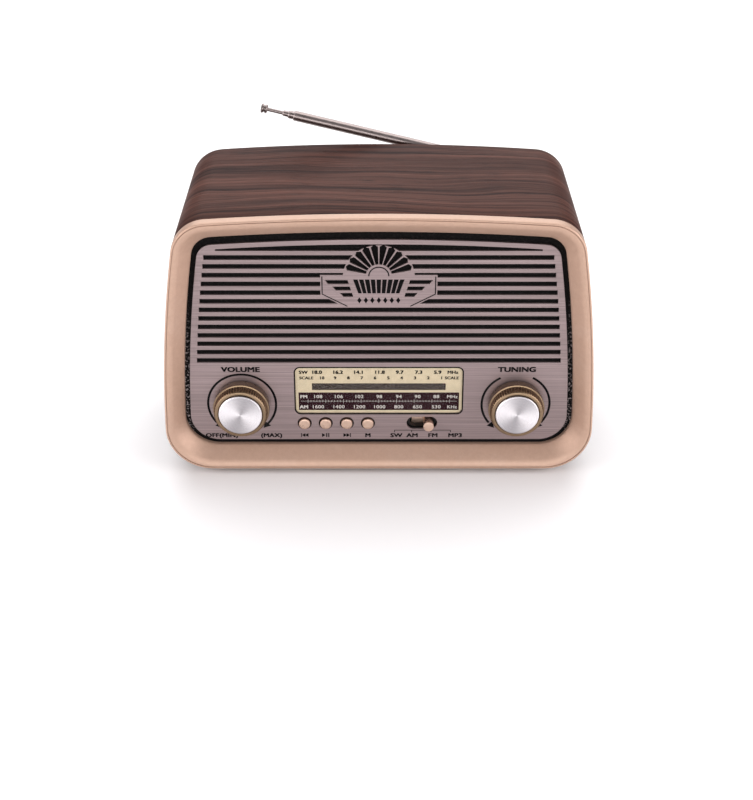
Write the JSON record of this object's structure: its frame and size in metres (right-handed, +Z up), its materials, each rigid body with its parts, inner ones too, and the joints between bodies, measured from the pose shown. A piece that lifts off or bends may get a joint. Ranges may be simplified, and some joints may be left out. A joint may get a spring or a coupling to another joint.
{
  "type": "tabletop radio",
  "caption": "Retro tabletop radio: crowned wood-grain cabinet, gold bezel, slotted metal face, two knobs, keys, cord-driven dial pointer and telescopic antenna.",
  "frame": {"origin": "centre of the whole radio's box in width and depth, at the bottom of the feet", "axes": "+X to the right seen from the front, +Y from front to back, +Z up"},
  "size_m": [0.2044, 0.1063, 0.1547],
  "materials": {
    "cabinet": "wood-grain film over MDF, satin",
    "bezel": "satin champagne metallic paint",
    "cloth": "coarse woven speaker cloth",
    "black_plastic": "matt black moulding",
    "face_metal": "brushed along its width",
    "dial_print": "printed card",
    "dial_lens": "clear acrylic",
    "rear_film": "wood-grain film on plastic",
    "rubber": "matt",
    "knob_metal": "bronze-gold, grooved grip",
    "spun_metal": "spun, radial highlights",
    "gold_plastic": "copper-gold, satin",
    "steel": "bright plated",
    "dark_chrome": "smoked plating",
    "screw_steel": "zinc plated",
    "ferrite": "sintered ferrite",
    "paper": "pressed paper cone",
    "board": "solder mask",
    "component": "moulded packages",
    "cream_plastic": "moulded nylon",
    "pointer_red": "moulded",
    "cord": "braided cord",
    "copper_wire": "enamelled winding",
    "cell_wrap": "shrink wrap",
    "lead_red": "insulated lead",
    "lamp_red": "diffused"
  },
  "bodies": {
    "radio": {"cabinet": "cabinet", "front_bezel": "bezel", "speaker_cloth": "cloth", "front_baffle": "black_plastic", "corner_posts": "black_plastic", "face_panel": "face_metal", "dial_scale": "dial_print", "dial_lens": "dial_lens", "rear_panel": "rear_film", "rear_screws": "screw_steel", "feet": "rubber", "speaker_frame": "steel", "speaker_magnet": "ferrite", "speaker_surround": "rubber", "speaker_screws": "screw_steel", "main_board": "board", "chassis_screws": "screw_steel", "board_components": "component", "volume_pot": "steel", "tuning_bush": "screw_steel", "tuning_bracket": "screw_steel", "tuning_capacitor": "cream_plastic", "dial_cord": "cord", "pointer_rail": "steel", "tact_switches": "component", "band_switch": "steel", "ferrite_rod": "ferrite", "ferrite_coil": "copper_wire", "ferrite_holders": "cream_plastic", "port_board": "board", "aux_jack": "component", "dc_jack": "component", "usb_port": "steel", "card_slot": "component", "charge_led": "lamp_red", "battery_tray": "black_plastic", "battery_cell": "cell_wrap", "battery_contacts": "steel", "antenna_bush": "black_plastic", "internal_leads": "lead_red"},
    "volume_control": {"volume_shaft": "steel", "volume_knob": "knob_metal", "volume_knob_cap": "spun_metal"},
    "tuning_control": {"tuning_spindle": "steel", "tuning_knob": "knob_metal", "tuning_knob_cap": "spun_metal"},
    "tuning_drum": {"dial_drum": "cream_plastic"},
    "pointer": {"dial_pointer": "pointer_red"},
    "previous_key": {"previous_button": "gold_plastic"},
    "play_key": {"play_button": "gold_plastic"},
    "next_key": {"next_button": "gold_plastic"},
    "mode_key": {"mode_button": "gold_plastic"},
    "band_selector": {"band_lever": "gold_plastic"},
    "rear_door": {"battery_door": "rear_film"},
    "cone": {"speaker_cone": "paper"},
    "antenna_base": {"antenna_swivel": "dark_chrome"},
    "antenna_mast": {"antenna_tube_1": "dark_chrome"},
    "antenna_stage_2": {"antenna_tube_2": "steel"},
    "antenna_stage_3": {"antenna_tube_3": "steel"},
    "antenna_stage_4": {"antenna_rod": "steel"}
  },
  "joints": [
    {"name": "volume_turn", "type": "hinge", "parent": "radio", "child": "volume_control", "pos_m": [-0.06569, -0.04235, 0.03515], "axis": [0, 1, 0], "range_deg": [0, 300]},
    {"name": "tuning_turn", "type": "hinge", "parent": "radio", "child": "tuning_control", "pos_m": [0.06569, -0.04235, 0.03515], "axis": [0, 1, 0], "range_deg": [0, 1006]},
    {"name": "drum_turn", "type": "hinge", "parent": "radio", "child": "tuning_drum", "pos_m": [0.06199, -0.03765, 0.08015], "axis": [0, 1, 0], "range_deg": [0, 195.5]},
    {"name": "pointer_travel", "type": "slide", "parent": "radio", "child": "pointer", "axis": [-1, 0, 0], "range_m": [0, 0.0651]},
    {"name": "previous_press", "type": "slide", "parent": "radio", "child": "previous_key", "axis": [0, 1, 0], "range_m": [0, 0.0006], "stiffness_N_per_m": 800},
    {"name": "play_press", "type": "slide", "parent": "radio", "child": "play_key", "axis": [0, 1, 0], "range_m": [0, 0.0006], "stiffness_N_per_m": 800},
    {"name": "next_press", "type": "slide", "parent": "radio", "child": "next_key", "axis": [0, 1, 0], "range_m": [0, 0.0006], "stiffness_N_per_m": 800},
    {"name": "mode_press", "type": "slide", "parent": "radio", "child": "mode_key", "axis": [0, 1, 0], "range_m": [0, 0.0006], "stiffness_N_per_m": 800},
    {"name": "band_select", "type": "slide", "parent": "radio", "child": "band_selector", "axis": [1, 0, 0], "range_m": [-0.0063, 0]},
    {"name": "door_swing", "type": "hinge", "parent": "radio", "child": "rear_door", "pos_m": [0, 0.04165, 0.0155], "axis": [-1, 0, 0], "range_deg": [0, 90]},
    {"name": "cone_excursion", "type": "slide", "parent": "radio", "child": "cone", "axis": [0, 1, 0], "range_m": [-0.0008, 0.0008], "stiffness_N_per_m": 1200, "deforming": ["speaker_surround"]},
    {"name": "antenna_swing", "type": "hinge", "parent": "radio", "child": "antenna_base", "pos_m": [0.07921, 0.04995, 0.118], "axis": [0, 1, 0], "range_deg": [-14, 166]},
    {"name": "antenna_tilt", "type": "hinge", "parent": "antenna_base", "child": "antenna_mast", "pos_m": [0.07921, 0.04995, 0.118], "axis": [-0.2419, 0, -0.9703], "range_deg": [0, 90]},
    {"name": "stage_2_pull", "type": "slide", "parent": "antenna_mast", "child": "antenna_stage_2", "axis": [-0.9703, 0, 0.2419], "range_m": [0, 0.104]},
    {"name": "stage_3_pull", "type": "slide", "parent": "antenna_stage_2", "child": "antenna_stage_3", "axis": [-0.9703, 0, 0.2419], "range_m": [0, 0.104]},
    {"name": "stage_4_pull", "type": "slide", "parent": "antenna_stage_3", "child": "antenna_stage_4", "axis": [-0.9703, 0, 0.2419], "range_m": [0, 0.104]}
  ],
  "couplings": [
    {"joint": "drum_turn", "follows": "tuning_turn", "ratio": 0.19372},
    {"joint": "pointer_travel", "follows": "tuning_turn", "m_per_rad": 0.0037}
  ]
}
